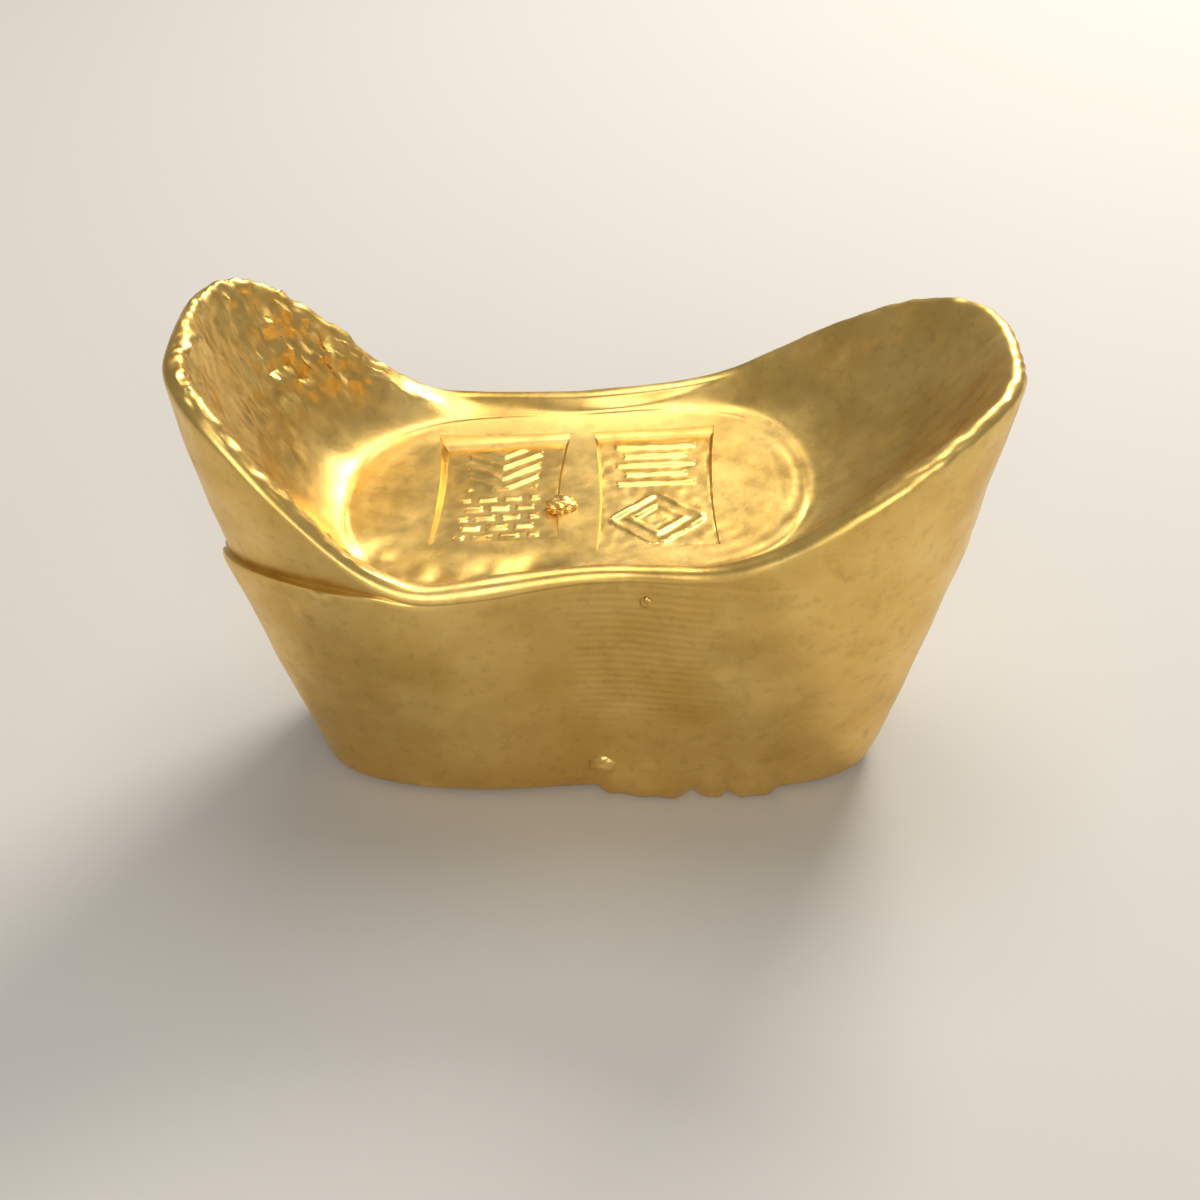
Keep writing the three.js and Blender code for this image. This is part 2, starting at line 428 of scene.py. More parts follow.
    def pool_ring(self, angles: np.ndarray, share: float) -> np.ndarray:
        """Gives a ring of the pool floor at a share of its outline.

        Args:
            angles: Angles in plan, from the right end towards the back.
            share: 0 in the middle of the pool, 1 at its edge.

        Returns:
            One row of X, Y and Z for each angle.
        """
        outline = self.pool()
        centre = np.array((outline.centre_x, 0.0))
        plan = centre + (outline.points(angles) - centre) * share
        return np.column_stack((plan, self.floor_height(plan[:, 0]) + self.pool_rise(angles, share)))


class Zone(Enum):
    """The stretches of the skin, in the order in which its rings climb and turn in."""

    UNDERSIDE = "underside"
    EDGE = "edge"
    LOWER_WALL = "lower_wall"
    UPPER_WALL = "upper_wall"
    LIP = "lip"
    SCOOP = "scoop"
    POOL = "pool"


@dataclass
class Skin:
    """The subdivided skin's points and normals, in millimetres, and how far along its rings each lies."""

    points: np.ndarray
    normals: np.ndarray
    ring: np.ndarray
    marks: dict[Zone, float]

    def zone(self, first: Zone, after: Zone | None, soft: float = 0.6) -> np.ndarray:
        """Gives the share that each point has in a stretch of the skin.

        Args:
            first: The first zone of the stretch.
            after: The zone that follows it, or None for the end of the skin.
            soft: How many rings the stretch fades over.

        Returns:
            One share, from 0 to 1, for each point.
        """
        high = self.ring.max() + 1.0 if after is None else self.marks[after]
        return band(self.marks[first], high, soft, self.ring)


@dataclass
class Casting:
    """The ingot's casting: a lofted cage, its subdivided skin and the marks that casting left on it."""

    form: CastingForm
    scale: float
    around: int = 116
    levels: int = 2
    ear_pit: tuple[float, float, float] = (-22.3, 7.4, 31.3)
    ripple_centre: tuple[float, float] = (6.5, 0.8)
    ripple_pitch: float = 1.35
    arc_centre_x: float = -9.0
    arc_pitch: float = 1.6
    line_pitch: float = 1.7
    end_margin: float = 0.4

    def ring_plan(self) -> list[tuple[Zone, float]]:
        """Lists the rings from the middle of the base to the middle of the pool.

        Returns:
            The zone of each ring, and how far along that zone it lies.
        """
        steps = {
            Zone.UNDERSIDE: (0.12, 0.35, 0.58, 0.78, 0.93),
            Zone.EDGE: (0.0, 0.3, 0.65, 1.0),
            Zone.LOWER_WALL: (0.12, 0.24, 0.37, 0.5, 0.63, 0.76, 0.88, 0.96, 1.0),
            Zone.UPPER_WALL: (0.0, 0.06, 0.3, 0.55, 0.8),
            Zone.LIP: (0.0, 0.2, 0.4, 0.6, 0.8, 1.0),
            Zone.SCOOP: (0.1, 0.22, 0.35, 0.5, 0.66, 0.82, 0.94, 1.0),
            Zone.POOL: (0.975, 0.93, 0.8, 0.66, 0.5, 0.33, 0.16),
        }
        return [(zone, share) for zone, shares in steps.items() for share in shares]

    def ring_points(self, zone: Zone, share: float) -> np.ndarray:
        """Gives one ring's points in metres.

        Args:
            zone: The stretch of skin that the ring is on.
            share: How far along that stretch it lies.

        Returns:
            One row of X, Y and Z for each station round the ingot.
        """
        rules = {
            Zone.UNDERSIDE: self.form.underside,
            Zone.EDGE: self.form.base_edge,
            Zone.LOWER_WALL: self.form.lower_wall,
            Zone.UPPER_WALL: self.form.upper_wall,
            Zone.LIP: self.form.lip,
            Zone.SCOOP: self.form.scoop,
            Zone.POOL: self.form.pool_ring,
        }
        angles = np.arange(self.around) / self.around * FULL_TURN
        return rules[zone](angles, share) * MM * self.scale

    def make_cage(self) -> bpy.types.Object:
        """Extrudes a disc ring by ring into the closed cage of the casting.

        Returns:
            The cage, with each point's place along the rings kept in an attribute.
        """
        bpy.ops.object.select_all(action="DESELECT")
        bpy.ops.mesh.primitive_cylinder_add(vertices=self.around, radius=1.0, depth=1.0)
        cage = bpy.context.object
        cage.name = "ingot_skin"
        plan = [self.ring_points(zone, share) for zone, share in self.ring_plan()]
        bpy.ops.object.mode_set(mode="EDIT")
        bpy.ops.mesh.select_mode(type="FACE")
        mesh = bmesh.from_edit_mesh(cage.data)
        station = mesh.verts.layers.float.new("station")
        ring = mesh.verts.layers.float.new("ring")
        for vertex in mesh.verts:
            turn = math.atan2(vertex.co.y, vertex.co.x) / FULL_TURN
            vertex[station] = round(turn * self.around) % self.around
            vertex[ring] = 0.0 if vertex.co.z < 0.0 else 1.0
        for vertex in mesh.verts:
            vertex.co = Vector(plan[int(vertex[ring])][int(vertex[station])])
        for face in mesh.faces:
            face.select = len(face.verts) == self.around and all(v[ring] > 0.5 for v in face.verts)
        bmesh.update_edit_mesh(cage.data)
        for number in range(2, len(plan)):
            bpy.ops.mesh.extrude_region_move()
            mesh = bmesh.from_edit_mesh(cage.data)
            station = mesh.verts.layers.float["station"]
            ring = mesh.verts.layers.float["ring"]
            for vertex in mesh.verts:
                if vertex.select:
                    vertex.co = Vector(plan[number][int(round(vertex[station]))])
                    vertex[ring] = float(number)
            bmesh.update_edit_mesh(cage.data)
        bpy.ops.mesh.select_all(action="SELECT")
        bpy.ops.mesh.normals_make_consistent(inside=False)
        bpy.ops.object.mode_set(mode="OBJECT")
        cage.data.attributes.remove(cage.data.attributes["station"])
        return cage

    def subdivide(self, cage: bpy.types.Object) -> None:
        """Rounds the cage with a subdivision surface and applies it.

        Args:
            cage: The lofted cage.
        """
        modifier = cage.modifiers.new("round", "SUBSURF")
        modifier.levels = self.levels
        modifier.render_levels = self.levels
        bpy.context.view_layer.objects.active = cage
        bpy.ops.object.modifier_apply(modifier=modifier.name)

    def read_skin(self, piece: bpy.types.Object) -> Skin:
        """Reads the skin's points, normals and ring places in drawn millimetres.

        Args:
            piece: The subdivided casting.

        Returns:
            Its points, their normals and their rings.
        """
        mesh = piece.data
        count = len(mesh.vertices)
        points = np.empty(count * 3)
        normals = np.empty(count * 3)
        ring = np.empty(count)
        mesh.vertices.foreach_get("co", points)
        mesh.vertex_normals.foreach_get("vector", normals)
        mesh.attributes["ring"].data.foreach_get("value", ring)
        marks: dict[Zone, float] = {}
        for number, (zone, _) in enumerate(self.ring_plan()):
            marks.setdefault(zone, float(number))
        drawn = points.reshape(-1, 3) / (MM * self.scale)
        return Skin(drawn, normals.reshape(-1, 3), ring, marks)

    def unevenness(self, skin: Skin) -> np.ndarray:
        """Gives the slow swell of a hand-poured casting, left out where the base is flat.

        Args:
            skin: The subdivided skin.

        Returns:
            How far each point moves along its normal, in millimetres.
        """
        standing = ramp(skin.marks[Zone.EDGE], skin.marks[Zone.LOWER_WALL] + 2.0, skin.ring)
        inner = skin.zone(Zone.POOL, None)
        swell = 0.3 * cloud(skin.points, 11.0, 1)
        swell += 0.12 * cloud(skin.points, 4.0, 2)
        return swell * standing * (1.0 - 0.65 * inner)

    def crinkled_ear(self, skin: Skin) -> np.ndarray:
        """Gives the left ear's coarse grain: wrinkles all over, and crystal faces along its back.

        Args:
            skin: The subdivided skin.

        Returns:
            How far each point moves along its normal, in millimetres.
        """
        x, y, z = skin.points.T
        inside = band(skin.marks[Zone.LIP] + 4.0, skin.marks[Zone.POOL] - 1.0, 2.0, skin.ring)
        mask = inside * ramp(14.0, 21.0, -x) * ramp(25.0, 30.0, z)
        backward = ramp(-3.0, 3.0, y) * ramp(30.5, 27.0, -x)
        crystals = mask * (0.25 + 0.75 * backward)
        coarse = 0.26 * facets(skin.points, 1.9, 3, crystals)
        coarse += 0.14 * facets(skin.points, 0.95, 4, crystals)
        wrinkle = 0.1 * cloud(skin.points, 1.3, 5, mask) + 0.1 * cloud(skin.points, 0.7, 19, mask)
        hollows = 0.22 * cloud(skin.points, 3.2, 20, mask)
        from_pit = np.linalg.norm(skin.points - np.array(self.ear_pit), axis=1)
        pit = 0.9 * (1.0 - ramp(0.2, 1.2, from_pit))
        return crystals * coarse + mask * (wrinkle + hollows) - pit * mask

    def toothed_lip(self, skin: Skin) -> np.ndarray:
        """Gives the left ear's ragged inner lip, with short teeth across it along the front.

        Args:
            skin: The subdivided skin.

        Returns:
            How far each point moves along its normal, in millimetres.
        """
        x, y = skin.points[:, 0], skin.points[:, 1]
        lip = band(skin.marks[Zone.LIP] + 3.5, skin.marks[Zone.SCOOP] + 2.2, 1.3, skin.ring)
        mask = lip * ramp(13.0, 18.0, -x)
        front = ramp(-1.0, 4.0, -y)
        along = skin.points * np.array((1.25, 0.8, 0.7))
        teeth = np.abs(cloud(along, 1.2, 6, mask))
        crumbs = cloud(skin.points, 0.9, 7, mask)
        return mask * (0.14 - (0.25 + 0.15 * front) * teeth + 0.13 * crumbs)

    def right_ear_peel(self, skin: Skin) -> np.ndarray:
        """Gives the right ear's drawn skin: shallow wrinkles that run down the slope.

        Args:
            skin: The subdivided skin.

        Returns:
            How far each point moves along its normal, in millimetres.
        """
        x, z = skin.points[:, 0], skin.points[:, 2]
        mask = skin.zone(Zone.LIP, Zone.POOL, 1.0) * ramp(12.0, 22.0, x) * ramp(26.0, 31.0, z)
        runs = cloud(skin.points * np.array((0.35, 1.0, 0.35)), 0.9, 8, mask)
        dimples = cloud(skin.points, 1.2, 9, mask)
        return mask * (0.13 * runs + 0.1 * dimples)

    def settling_rings(self, skin: Skin) -> np.ndarray:
        """Gives the rings that the pool left as it sank, clearest at its right end.

        Args:
            skin: The subdivided skin.

        Returns:
            How far each point moves along its normal, in millimetres.
        """
        x, y = skin.points[:, 0], skin.points[:, 1]
        inner = skin.zone(Zone.SCOOP, None, 1.0)
        centre_x, centre_y = self.ripple_centre
        reach = np.hypot(x - centre_x, (y - centre_y) * 0.95)
        right = band(4.6, 10.5, 1.0, reach) * ramp(6.0, 9.5, x)
        left = ramp(11.5, 14.5, -x) * band(-9.0, 9.0, 2.0, y) * skin.zone(Zone.POOL, None, 1.0)
        waves = 0.022 * np.sin(reach / self.ripple_pitch * FULL_TURN) * right
        arc_reach = np.hypot(x - self.arc_centre_x, y)
        arcs = 0.018 * np.sin(arc_reach / self.arc_pitch * FULL_TURN) * left
        return inner * (waves + arcs)

    def rim_groove(self, skin: Skin) -> np.ndarray:
        """Gives the groove just inside the front lip, left of the waist.

        Args:
            skin: The subdivided skin.

        Returns:
            How far each point moves along its normal, in millimetres.
        """
        x, y = skin.points[:, 0], skin.points[:, 1]
        inner = band(skin.marks[Zone.SCOOP] + 2.0, skin.marks[Zone.POOL] + 1.0, 2.0, skin.ring)
        mask = inner * band(-17.0, -6.0, 4.0, x) * ramp(4.0, 8.0, -y)
        ripple = 0.25 * cloud(skin.points, 1.6, 10, mask)
        return mask * (ripple - 0.6)

    def wall_marks(self, skin: Skin) -> np.ndarray:
        """Gives the wall's faint mould lines, pinholes and specks.

        Args:
            skin: The subdivided skin.

        Returns:
            How far each point moves along its normal, in millimetres.
        """
        x, y, z = skin.points.T
        wall = skin.zone(Zone.LOWER_WALL, Zone.LIP, 1.0)
        waist = wall * band(-1.5, 6.0, 3.0, x) * ramp(2.0, 6.0, -y) * band(9.0, 22.0, 2.0, z)
        sway = 0.5 * cloud(skin.points, 6.0, 11, waist)
        lines = 0.025 * np.sin((z + sway) / self.line_pitch * FULL_TURN) * waist
        pitted = ramp(-0.1, 0.35, cloud(skin.points, 9.0, 13, wall))
        holes = -0.3 * pits(skin.points, 3.1, 12, wall) * pitted
        specked = ramp(0.1, 0.5, cloud(skin.points, 7.0, 15, wall))
        specks = 0.22 * pits(skin.points, 2.6, 14, wall) * specked
        return lines + wall * (holes + specks)

    def foot_runs(self, skin: Skin) -> np.ndarray:
        """Gives the lumps along the front foot, where metal ran into the mould's edge.

        Args:
            skin: The subdivided skin.

        Returns:
            How far each point moves along its normal, in millimetres.
        """
        x, y, z = skin.points.T
        low = 1.0 - ramp(1.5, 6.5, z)
        wall = band(skin.marks[Zone.EDGE], skin.marks[Zone.UPPER_WALL], 1.0, skin.ring)
        front = ramp(3.0, 6.0, -y) * wall
        lumps = band(1.0, 6.0, 1.6, x) + 0.75 * band(8.6, 9.6, 1.0, x)
        lumps += 0.9 * band(11.5, 13.5, 1.2, x)
        return 0.95 * low * front * lumps * (0.85 + 0.4 * cloud(skin.points, 2.2, 16, low * front))

    def gas_pits(self, skin: Skin) -> np.ndarray:
        """Gives the underside's gas pits, which such castings have where they met the mould.

        Args:
            skin: The subdivided skin.

        Returns:
            How far each point moves along its normal, in millimetres.
        """
        under = 1.0 - ramp(skin.marks[Zone.EDGE] - 0.5, skin.marks[Zone.EDGE] + 1.0, skin.ring)
        large = pits(skin.points, 6.0, 17, under)
        small = pits(skin.points, 2.4, 18, under)
        return -under * (0.8 * large + 0.35 * small)

    def work_skin(self, piece: bpy.types.Object) -> None:
        """Moves the skin's points along their normals by all the marks of the casting.

        Args:
            piece: The subdivided skin.
        """
        skin = self.read_skin(piece)
        layers = (
            self.unevenness,
            self.crinkled_ear,
            self.toothed_lip,
            self.right_ear_peel,
            self.settling_rings,
            self.rim_groove,
            self.wall_marks,
            self.foot_runs,
            self.gas_pits,
        )
        relief = sum(layer(skin) for layer in layers)
        moved = skin.points + skin.normals * relief[:, None]
        under = skin.ring < skin.marks[Zone.EDGE] + 0.5
        moved[:, 2] = np.where(under, np.maximum(moved[:, 2], 0.0), np.maximum(moved[:, 2], 0.02))
        limit = self.form.rim.half_length + self.end_margin
        moved[:, 0] = np.clip(moved[:, 0], -limit, limit)
        piece.data.vertices.foreach_set("co", (moved * MM * self.scale).ravel())
        piece.data.update()

    def build(self) -> bpy.types.Object:
        """Makes the cage, rounds it and works its skin.

        Returns:
            The casting, before its panels are punched.
        """
        cage = self.make_cage()
        self.subdivide(cage)
        self.work_skin(cage)
        return cage


class Motif(Enum):
    """The plain marks that a punch can carry."""

    BARS = "bars"
    DIAMONDS = "diamonds"
    CHEVRONS = "chevrons"
    BRICKS = "bricks"


@dataclass
class Punch:
    """A punch that presses one panel: its face, its two stacked motifs and how it was held."""

    name: str
    x: float
    y: float
    width: float
    length: float
    depth: float
    lean_x: float
    lean_y: float
    turn: float
    motifs: tuple[Motif, Motif]
    relief: float = 0.22
    stroke: float = 0.55
    pitch: float = 1.35
    grid: float = 0.14
    slope: float = 0.75
    relieved: float = 0.25
    pinch: float = 0.35
    height: float = 6.0

    def stroke_height(self, u: np.ndarray, v: np.ndarray, motif: Motif) -> np.ndarray:
        """Gives the share of a motif's raised strokes, softened at their edges.

        Args:
            u: Places across the panel, from the motif's middle, in millimetres.
            v: Places along the panel.
            motif: The mark to draw.

        Returns:
            One share, from 0 to 1, for each place.
        """
        half = self.stroke / 2

        def line(distance: np.ndarray) -> np.ndarray:
            """Gives a stroke's share at a distance from its middle line."""
            return 1.0 - ramp(half - 0.2, half + 0.2, np.abs(distance))

        course = np.floor(v / self.pitch + 0.5)
        rows = v - course * self.pitch
        if motif is Motif.BARS:
            reach = 3.3 - 0.7 * (course % 2)
            return line(rows) * (np.abs(u) < reach)
        if motif is Motif.DIAMONDS:
            ring = np.abs(u) + np.abs(v) * 1.15
            nest = (ring + self.pitch * 0.3) % (self.pitch * 1.3) - self.pitch * 0.65
            return line(nest * 0.75) * (ring < 4.4) * (ring > 0.9)
        if motif is Motif.CHEVRONS:
            bent = (v - 0.6 * np.abs(u) + self.pitch * 20.2) % (self.pitch * 1.25) - self.pitch / 2
            return line(bent * 0.86) * (np.abs(u) < 3.0)
        brick = (u + 1.1 * (course % 2) + 22.0) % 2.2 - 1.1
        return line(rows) * (np.abs(brick) < 0.72) * (np.abs(u) < 3.3)

    def face_relief(self, u: np.ndarray, v: np.ndarray) -> np.ndarray:
        """Gives how far the punch's face is cut back, so that the strokes stand up in the gold.

        Args:
            u: Places across the panel, from its middle.
            v: Places along the panel.

        Returns:
            How far back the face lies at each place, in millimetres.
        """
        half = self.length / 2
        middle = half * 0.5
        reach = middle - 0.75
        upper = self.stroke_height(u, v - middle, self.motifs[0]) * band(-reach, reach, 0.2, v - middle)
        lower = self.stroke_height(u, v + middle, self.motifs[1]) * band(-reach, reach, 0.2, v + middle)
        inside = band(-self.width / 2 + 0.9, self.width / 2 - 0.9, 0.25, u)
        places = np.stack((u, v, np.zeros_like(u)), axis=1)
        seed = 21 + len(self.name)
        worn = np.clip(0.85 + 0.5 * cloud(places, 1.7, seed), 0.25, 1.0)
        return self.relief * np.maximum(upper, lower) * inside * worn + 0.05 * cloud(places, 1.1, seed + 1)

    def build(self, form: CastingForm, scale: float) -> bpy.types.Object:
        """Models the punch over its panel: a relief face whose edge is drawn up into a block.

        Args:
            form: The casting's form, whose pool the punch stands on.
            scale: Share of the drawn size.

        Returns:
            The closed punch, in its place.
        """
        bpy.ops.object.select_all(action="DESELECT")
        columns = round(self.width / self.grid)
        rows = round(self.length / self.grid)
        bpy.ops.mesh.primitive_grid_add(x_subdivisions=columns, y_subdivisions=rows, size=1.0)
        punch = bpy.context.object
        punch.name = self.name
        bpy.ops.object.mode_set(mode="EDIT")
        bpy.ops.transform.resize(value=(self.width, self.length, 1.0))
        bpy.ops.mesh.select_all(action="DESELECT")
        mesh = bmesh.from_edit_mesh(punch.data)
        places = np.array([vertex.co[:2] for vertex in mesh.verts])
        lifts = self.face_relief(places[:, 0], places[:, 1])
        for vertex, lift in zip(mesh.verts, lifts):
            vertex.co.z = 0.0 if vertex.is_boundary else float(lift)
        for edge in mesh.edges:
            edge.select = edge.is_boundary
        bmesh.update_edit_mesh(punch.data)
        bpy.ops.mesh.select_mode(type="EDGE")
        levels = (0.15, self.depth * 0.6, self.depth, self.height)
        below = 0.0
        across = (self.width, self.length)
        for level in levels:
            bpy.ops.mesh.extrude_region_move(TRANSFORM_OT_translate={"value": (0.0, 0.0, level - below)})
            grow = (level - below) * 2 * (self.slope if level <= self.depth else self.relieved)
            factors = (1.0 + grow / across[0], 1.0 + grow / across[1], 1.0)
            bpy.ops.transform.resize(value=factors)
            across = (across[0] + grow, across[1] + grow)
            below = level
        bpy.ops.mesh.edge_face_add()
        bpy.ops.mesh.select_all(action="SELECT")
        bpy.ops.mesh.normals_make_consistent(inside=False)
        bpy.ops.object.mode_set(mode="OBJECT")
        self.hollow_sides(punch)
        self.place(punch, form, scale)
        return punch

    def hollow_sides(self, punch: bpy.types.Object) -> None:
        """Draws the punch's long sides in at their middle.

        Args:
            punch: The punch, before it is placed.
        """
        for vertex in punch.data.vertices:
            hollow = self.pinch * (1.0 - (2 * vertex.co.y / self.length) ** 2)
            vertex.co.x -= 2 * vertex.co.x / self.width * hollow

    def place(self, punch: bpy.types.Object, form: CastingForm, scale: float) -> None:
        """Turns, leans and moves the punch's mesh to where it was struck.

        Args:
            punch: The punch, drawn round the origin.
            form: The casting's form, whose pool it stands on.
            scale: Share of the drawn size.
        """
        depth_height = float(form.floor_height(np.array([self.x]))[0]) - self.depth
        turn = Matrix.Rotation(math.radians(self.turn), 4, "Z")
        lean_x = Matrix.Rotation(math.radians(-self.lean_x), 4, "X")
        lean_y = Matrix.Rotation(math.radians(self.lean_y), 4, "Y")
        move = Matrix.Translation((self.x, self.y, depth_height))
        punch.data.transform(Matrix.Scale(MM * scale, 4) @ move @ lean_y @ lean_x @ turn)


@dataclass(frozen=True)
class Bead:
    """A splash that set on the skin, by its middle and half-sizes in millimetres."""

    name: str
    centre: tuple[float, float, float]
    size: tuple[float, float, float]
    lumpiness: float = 0.3

    def build(self, scale: float) -> bpy.types.Object:
        """Models the bead as a lumpy drop.

        Args:
            scale: Share of the drawn size.

        Returns:
            The closed bead, in its place.
        """
        bpy.ops.object.select_all(action="DESELECT")
        bpy.ops.mesh.primitive_ico_sphere_add(subdivisions=4, radius=1.0)
        bead = bpy.context.object
        bead.name = self.name
        for vertex in bead.data.vertices:
            place = vertex.co * 2.1 + Vector(self.centre)
            lumps = noise.noise(place) + 0.4 * noise.noise(place * 2.7)
            vertex.co *= 1.0 + self.lumpiness * lumps
        shape = Matrix.Diagonal((*self.size, 1.0))
        bead.data.transform(Matrix.Scale(MM * scale, 4) @ Matrix.Translation(self.centre) @ shape)
        return bead


class Cut(Enum):
    """What a tool's solid does to the casting."""

    PRESS = "DIFFERENCE"
    WELD = "UNION"


def apply_tool(piece: bpy.types.Object, tool: bpy.types.Object, cut: Cut) -> None:
    """Presses a tool into the casting or welds it on, and clears the tool away.

    Args:
        piece: The casting.
        tool: The closed solid to press or weld.
        cut: Which of the two is done.
    """
    bpy.ops.object.select_all(action="DESELECT")
    bpy.context.view_layer.objects.active = piece
    modifier = piece.modifiers.new(cut.name.lower(), "BOOLEAN")
    modifier.operation = cut.value
    modifier.solver = "EXACT"
    modifier.object = tool
    bpy.ops.object.modifier_apply(modifier=modifier.name)
    bpy.data.objects.remove(tool, do_unlink=True)


def close_seams(piece: bpy.types.Object, gap: float = 0.004 * MM) -> None:
    """Merges the points that the tools left on top of each other, so that the skin is one closed body.

    Args:
        piece: The casting, after its last tool.
        gap: Points nearer than this become one.
    """
    bpy.ops.object.select_all(action="DESELECT")
    bpy.context.view_layer.objects.active = piece
    bpy.ops.object.mode_set(mode="EDIT")
    bpy.ops.mesh.select_mode(type="VERT")
    bpy.ops.mesh.select_all(action="SELECT")
    bpy.ops.mesh.remove_doubles(threshold=gap)
    bpy.ops.mesh.dissolve_degenerate(threshold=gap)
    bpy.ops.mesh.select_all(action="DESELECT")
    bpy.ops.object.mode_set(mode="OBJECT")


@dataclass(frozen=True)
class GoldFinish:
    """Cast gold: warm, satin, brighter where rubbed, with a fine grain."""

    name: str = "cast_gold"
    pale: tuple[float, float, float, float] = (0.9, 0.63, 0.21, 1.0)
    deep: tuple[float, float, float, float] = (0.76, 0.49, 0.13, 1.0)
    grime: tuple[float, float, float, float] = (0.2, 0.1, 0.025, 1.0)
    smooth: float = 0.3
    dull: float = 0.46
    ripple_pitch: float = 0.75

    def build(self) -> bpy.types.Material:
        """Builds the node material.

        Returns:
            The finished material.
        """
        material = bpy.data.materials.new(self.name)
        material.use_nodes = True
        nodes = material.node_tree.nodes
        links = material.node_tree.links
        shader = nodes["Principled BSDF"]
        shader.inputs["Metallic"].default_value = 1.0
        place = nodes.new("ShaderNodeTexCoord")

        def cloud_node(size: float, detail: float, roughness: float = 0.55) -> bpy.types.Node:
            """Adds a cloud texture.

            Args:
                size: Width of its lumps, in millimetres.
                detail: How many finer layers it has.
                roughness: How strong those are.

            Returns:
                The texture's node.
            """
            texture = nodes.new("ShaderNodeTexNoise")
            texture.inputs["Scale"].default_value = 1.0 / (size * MM)
            texture.inputs["Detail"].default_value = detail
            texture.inputs["Roughness"].default_value = roughness
            links.new(place.outputs["Object"], texture.inputs["Vector"])
            return texture

        def ramp_node(source: bpy.types.NodeSocket, low: float, high: float) -> bpy.types.Node:
            """Adds a node that spreads a span of values over 0 to 1.

            Args:
                source: The socket that gives the values.
                low: Value that becomes 0.
                high: Value that becomes 1.

            Returns:
                The new node.
            """
            mapping = nodes.new("ShaderNodeMapRange")
            mapping.inputs["From Min"].default_value = low
            mapping.inputs["From Max"].default_value = high
            links.new(source, mapping.inputs["Value"])
            return mapping

        def blend_node(share: bpy.types.NodeSocket, first: Tint, second: Tint) -> bpy.types.Node:
            """Adds a node that blends two colours.

            Args:
                share: The socket that gives the second colour's share.
                first: A colour, or the socket that gives it.
                second: The other colour.

            Returns:
                The new node.
            """
            mix = nodes.new("ShaderNodeMix")
            mix.data_type = "RGBA"
            links.new(share, mix.inputs["Factor"])
            for socket, value in (("A", first), ("B", second)):
                target = next(s for s in mix.inputs if s.name == socket and s.type == "RGBA")
                if isinstance(value, tuple):
                    target.default_value = value
                else:
                    links.new(value, target)
            return mix

        def color_out(mix: bpy.types.Node) -> bpy.types.NodeSocket:
            """Gives the socket with a blend's colour."""
            return next(s for s in mix.outputs if s.type == "RGBA")

        broad = ramp_node(cloud_node(7.0, 3.0).outputs["Fac"], 0.35, 0.68)
        body = blend_node(broad.outputs["Result"], self.deep, self.pale)
        fine = ramp_node(cloud_node(1.1, 4.0, 0.65).outputs["Fac"], 0.52, 0.74)
        specks = nodes.new("ShaderNodeMath")
        specks.operation = "MULTIPLY"
        specks.inputs[1].default_value = 0.22
        links.new(fine.outputs["Result"], specks.inputs[0])
        tinted = blend_node(specks.outputs[0], color_out(body), self.grime)
        links.new(color_out(tinted), shader.inputs["Base Color"])

        rough = ramp_node(cloud_node(2.6, 5.0, 0.6).outputs["Fac"], 0.3, 0.72)
        rough.inputs["To Min"].default_value = self.smooth
        rough.inputs["To Max"].default_value = self.dull
        links.new(rough.outputs["Result"], shader.inputs["Roughness"])

        grain = nodes.new("ShaderNodeBump")
        grain.inputs["Strength"].default_value = 0.35
        grain.inputs["Distance"].default_value = 0.03 * MM
        links.new(cloud_node(0.35, 5.0, 0.6).outputs["Fac"], grain.inputs["Height"])
        peel = nodes.new("ShaderNodeBump")
        peel.inputs["Strength"].default_value = 0.3
        peel.inputs["Distance"].default_value = 0.05 * MM
        links.new(cloud_node(1.6, 3.0).outputs["Fac"], peel.inputs["Height"])
        links.new(grain.outputs["Normal"], peel.inputs["Normal"])
        ripples = nodes.new("ShaderNodeBump")
        ripples.inputs["Strength"].default_value = 0.32
        ripples.inputs["Distance"].default_value = 0.05 * MM
        links.new(self.waist_ripples(nodes, links, place.outputs["Object"]), ripples.inputs["Height"])
        links.new(peel.outputs["Normal"], ripples.inputs["Normal"])
        links.new(ripples.outputs["Normal"], shader.inputs["Normal"])
        return material

    def waist_ripples(
        self, nodes: bpy.types.Nodes, links: bpy.types.NodeLinks, place: bpy.types.NodeSocket
    ) -> bpy.types.NodeSocket:
        """Builds the fine level lines that the mould left across the front of the waist.

        Args:
            nodes: The material's nodes.
            links: The material's links.
            place: The socket that gives the place on the ingot.

        Returns:
            The socket that gives the lines' height.
        """
        wave = nodes.new("ShaderNodeTexWave")
        wave.bands_direction = "Z"
        wave.inputs["Scale"].default_value = FULL_TURN / (20.0 * self.ripple_pitch * MM)
        wave.inputs["Distortion"].default_value = 1.2
        wave.inputs["Detail"].default_value = 1.0
        wave.inputs["Detail Scale"].default_value = 0.35
        links.new(place, wave.inputs["Vector"])
        axes = nodes.new("ShaderNodeSeparateXYZ")
        links.new(place, axes.inputs["Vector"])
        height = wave.outputs["Fac"]
        edges = (("X", -4.0, 0.0), ("X", 11.0, 6.0), ("Y", -4.0, -7.0), ("Z", 8.0, 12.0))
        for axis, none, full in edges:
            fade = nodes.new("ShaderNodeMapRange")
            fade.inputs["From Min"].default_value = none * MM
            fade.inputs["From Max"].default_value = full * MM
            links.new(axes.outputs[axis], fade.inputs["Value"])
            product = nodes.new("ShaderNodeMath")
            product.operation = "MULTIPLY"
            links.new(height, product.inputs[0])
            links.new(fade.outputs["Result"], product.inputs[1])
            height = product.outputs["Value"]
        return height


@dataclass(frozen=True)
class Lamp:
    """A soft square lamp, by its place, its side, its power and its colour."""

    name: str
    place: tuple[float, float, float]
    size: float
    watts: float
    tint: tuple[float, float, float]


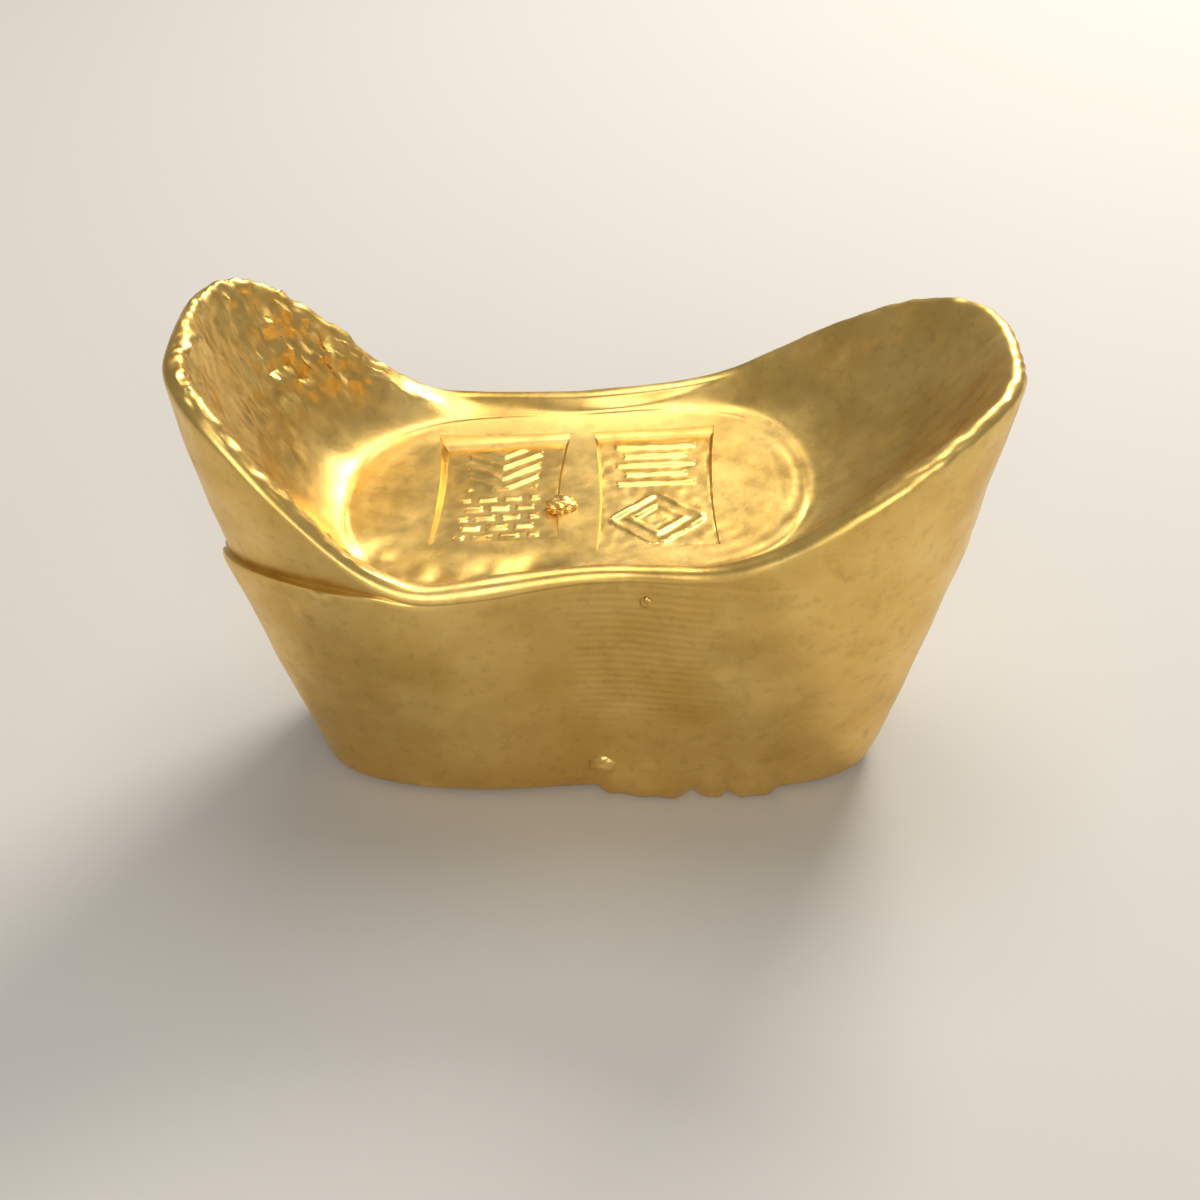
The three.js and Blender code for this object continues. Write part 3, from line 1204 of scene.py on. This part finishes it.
@dataclass
class Studio:
    """The pale floor, the soft lamps and the camera."""

    lamps: tuple[Lamp, ...] = (
        Lamp("key", (0.14, 0.26, 0.26), 0.14, 1.15, (1.0, 0.93, 0.82)),
        Lamp("fill", (0.04, -0.55, 0.3), 0.4, 1.6, (1.0, 0.97, 0.92)),
        Lamp("top", (0.02, 0.1, 0.42), 0.24, 0.7, (1.0, 0.95, 0.86)),
    )
    aim: tuple[float, float, float] = (0.0, 0.0, 0.02)
    floor_half: float = 6.0
    floor_drop: float = 0.00002
    floor_color: tuple[float, float, float, float] = (0.58, 0.57, 0.55, 1.0)
    sky_color: tuple[float, float, float, float] = (0.93, 0.92, 0.9, 1.0)
    sky_light: float = 0.3
    sky_seen: float = 0.85
    eye: tuple[float, float, float] = (0.00194, -0.1263, 0.1122)
    view_down: float = 38.0
    lens: float = 58.56
    shift_x: float = -0.0208

    def pale_surface(self, name: str, color: tuple[float, float, float, float]) -> bpy.types.Material:
        """Builds the floor's plain pale finish.

        Args:
            name: The finish's name.
            color: Its colour.

        Returns:
            The finished material.
        """
        material = bpy.data.materials.new(name)
        material.use_nodes = True
        shader = material.node_tree.nodes["Principled BSDF"]
        shader.inputs["Base Color"].default_value = color
        shader.inputs["Roughness"].default_value = 0.9
        return material

    def add_lamp(self, lamp: Lamp) -> None:
        """Adds one soft square lamp that faces the ingot.

        Args:
            lamp: Where it stands, how large it is and how it shines.
        """
        light = bpy.data.lights.new(lamp.name, "AREA")
        light.size = lamp.size
        light.energy = lamp.watts
        light.color = lamp.tint
        holder = bpy.data.objects.new(lamp.name, light)
        holder.location = lamp.place
        aim = Vector(self.aim) - Vector(lamp.place)
        holder.rotation_euler = aim.to_track_quat("-Z", "Y").to_euler()
        bpy.context.scene.collection.objects.link(holder)

    def build(self) -> None:
        """Sets the floor, the lamps, the world and the camera."""
        scene = bpy.context.scene
        bpy.ops.object.select_all(action="DESELECT")
        bpy.ops.mesh.primitive_plane_add(size=2 * self.floor_half, location=(0.0, 0.0, -self.floor_drop))
        floor = bpy.context.object
        floor.name = "studio_floor"
        floor.data.materials.append(self.pale_surface("pale_floor", self.floor_color))
        for lamp in self.lamps:
            self.add_lamp(lamp)
        world = bpy.data.worlds.new("studio")
        world.use_nodes = True
        nodes, links = world.node_tree.nodes, world.node_tree.links
        background = nodes["Background"]
        background.inputs["Color"].default_value = self.sky_color
        path = nodes.new("ShaderNodeLightPath")
        strength = nodes.new("ShaderNodeMapRange")
        strength.inputs["To Min"].default_value = self.sky_light
        strength.inputs["To Max"].default_value = self.sky_seen
        links.new(path.outputs["Is Camera Ray"], strength.inputs["Value"])
        links.new(strength.outputs["Result"], background.inputs["Strength"])
        scene.world = world
        camera = bpy.data.cameras.new("camera")
        camera.lens = self.lens
        camera.sensor_width = 36.0
        camera.shift_x = self.shift_x
        camera.clip_start = 0.005
        holder = bpy.data.objects.new("camera", camera)
        holder.location = self.eye
        holder.rotation_euler = (math.radians(90.0 - self.view_down), 0.0, 0.0)
        scene.collection.objects.link(holder)
        scene.camera = holder
        scene.view_settings.view_transform = "Standard"


PUNCHES = (
    Punch("left_punch", -7.9, 1.2, 9.8, 14.0, 0.46, 2.4, -4.6, -1.0, (Motif.CHEVRONS, Motif.BRICKS)),
    Punch("right_punch", 4.4, 0.4, 9.2, 15.6, 0.28, 1.6, -2.6, 0.5, (Motif.BARS, Motif.DIAMONDS)),
)
BEADS = (
    Bead("pool_bead", (-3.0, -1.6, 24.15), (1.2, 1.0, 0.6)),
    Bead("foot_bead", (0.3, -9.3, 3.9), (1.2, 0.6, 1.2), 0.15),
    Bead("lip_bead", (3.6, -12.6, 23.4), (0.6, 0.5, 0.7), 0.2),
)


def dress(piece: bpy.types.Object) -> None:
    """Smooths the casting, gives it its finish and lets it stand for the frame's node.

    Args:
        piece: The casting, after its seams are closed.
    """
    bpy.ops.object.select_all(action="DESELECT")
    piece.select_set(True)
    bpy.context.view_layer.objects.active = piece
    bpy.ops.object.shade_smooth_by_angle(angle=math.radians(40.0))
    piece.data.materials.clear()
    piece.data.materials.append(GoldFinish().build())
    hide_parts(NODE)
    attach(piece, "root")


def main() -> None:
    """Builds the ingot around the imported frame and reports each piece."""
    logging.basicConfig(level=logging.INFO, format="%(name)s: %(message)s")
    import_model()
    low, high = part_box(NODE)
    scale = (high[0] - low[0]) / MM / DRAWN_LENGTH
    Studio().build()

    form = CastingForm()
    piece = Casting(form, scale).build()
    LOG.info("skin: %d points", len(piece.data.vertices))
    for punch in PUNCHES:
        apply_tool(piece, punch.build(form, scale), Cut.PRESS)
        LOG.info("%s pressed: %d faces", punch.name, len(piece.data.polygons))
    for bead in BEADS:
        apply_tool(piece, bead.build(scale), Cut.WELD)
        LOG.info("%s welded: %d faces", bead.name, len(piece.data.polygons))
    close_seams(piece)
    dress(piece)
    LOG.info("%s: finished", piece.name)


if __name__ == "__main__":
    main()
